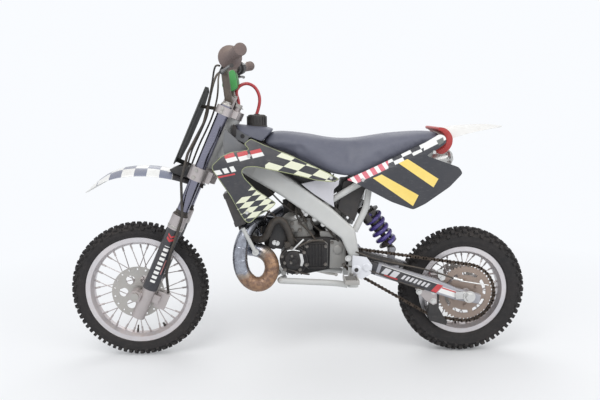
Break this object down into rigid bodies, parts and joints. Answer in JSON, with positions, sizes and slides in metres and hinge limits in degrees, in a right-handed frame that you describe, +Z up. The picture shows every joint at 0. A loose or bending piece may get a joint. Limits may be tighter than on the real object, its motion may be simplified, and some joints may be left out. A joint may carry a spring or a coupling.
{
  "type": "youth motocross motorcycle",
  "caption": "Small two-wheeled off-road motorcycle with spoked wheels, knobby tyres, chain drive, raked fork that steers, long seat and plastic bodywork.",
  "frame": {"origin": "top of the seat under the rider, in the middle of its width", "axes": "+X forward, +Y to the rider's left, +Z up"},
  "size_m": [1.434, 0.7082, 0.9444],
  "materials": {
    "frame_paint": "light grey powder coat, satin",
    "silver_metal": "cast and machined, satin",
    "chrome": "hard chrome, polished",
    "steel": "brushed and oiled",
    "pipe_steel": "plated steel, heat stained and rusty below",
    "silencer_metal": "brushed",
    "black_metal": "black satin paint",
    "engine_grey": "cast, dull",
    "spring_paint": "dark violet gloss coat",
    "tyre": "dusty tread",
    "black_rubber": "matt",
    "grip_rubber": "worn, dusty",
    "red_hose": "semi-gloss",
    "black_plastic": "moulded, scuffed",
    "graphic_plastic": "film graphics on moulded plastic",
    "white_plastic": "moulded, scuffed",
    "tank_plastic": "translucent natural polyethylene",
    "seat_cover": "grained vinyl cover",
    "bar_foam": "foam under a smooth sleeve"
  },
  "bodies": {
    "chassis": {"steering_head": "frame_paint", "main_spars": "frame_paint", "down_tube": "frame_paint", "lower_rails": "frame_paint", "subframe": "frame_paint", "pivot_plates": "silver_metal", "swingarm": "black_metal", "rear_axle": "steel", "shock_body": "black_metal", "shock_spring": "spring_paint", "engine_cases": "black_metal", "engine_cylinder": "engine_grey", "carburettor": "engine_grey", "airbox": "black_plastic", "radiator": "black_plastic", "coolant_hose": "black_rubber", "exhaust_pipe": "pipe_steel", "silencer": "silencer_metal", "fuel_tank": "tank_plastic", "tank_cover": "seat_cover", "tank_cap": "black_plastic", "vent_hose": "red_hose", "seat": "seat_cover", "shrouds": "graphic_plastic", "side_panels": "graphic_plastic", "rear_fender": "white_plastic", "footpegs": "steel", "kickstarter": "steel", "brake_pedal": "steel", "chain": "steel", "front_sprocket": "steel", "chain_guide": "black_plastic", "rear_caliper": "silver_metal"},
    "steering": {"upper_clamp": "silver_metal", "lower_clamp": "silver_metal", "fork_tubes": "chrome", "fork_lowers": "silver_metal", "fork_guards": "black_plastic", "handlebar": "black_metal", "bar_pad": "bar_foam", "grips": "grip_rubber", "levers": "silver_metal", "number_plate": "black_plastic", "front_fender": "white_plastic", "front_caliper": "silver_metal", "front_brake_hose": "black_rubber", "front_axle": "steel"},
    "front_wheel": {"front_tyre": "tyre", "front_rim": "silver_metal", "front_hub": "silver_metal", "front_disc": "steel"},
    "rear_wheel": {"rear_tyre": "tyre", "rear_rim": "silver_metal", "rear_hub": "silver_metal", "rear_sprocket": "steel", "rear_disc": "steel"}
  },
  "joints": [
    {"name": "steering", "type": "hinge", "parent": "chassis", "child": "steering", "pos_m": [0.59389, 0, -0.48981], "axis": [-0.4019, 0, 0.9157], "range_deg": [-42, 42]},
    {"name": "front_wheel_spin", "type": "hinge", "parent": "steering", "child": "front_wheel", "pos_m": [0.647, 0, -0.4665], "axis": [0, 1, 0], "continuous": true},
    {"name": "rear_wheel_spin", "type": "hinge", "parent": "chassis", "child": "rear_wheel", "pos_m": [-0.37, 0, -0.478], "axis": [0, 1, 0], "continuous": true}
  ]
}
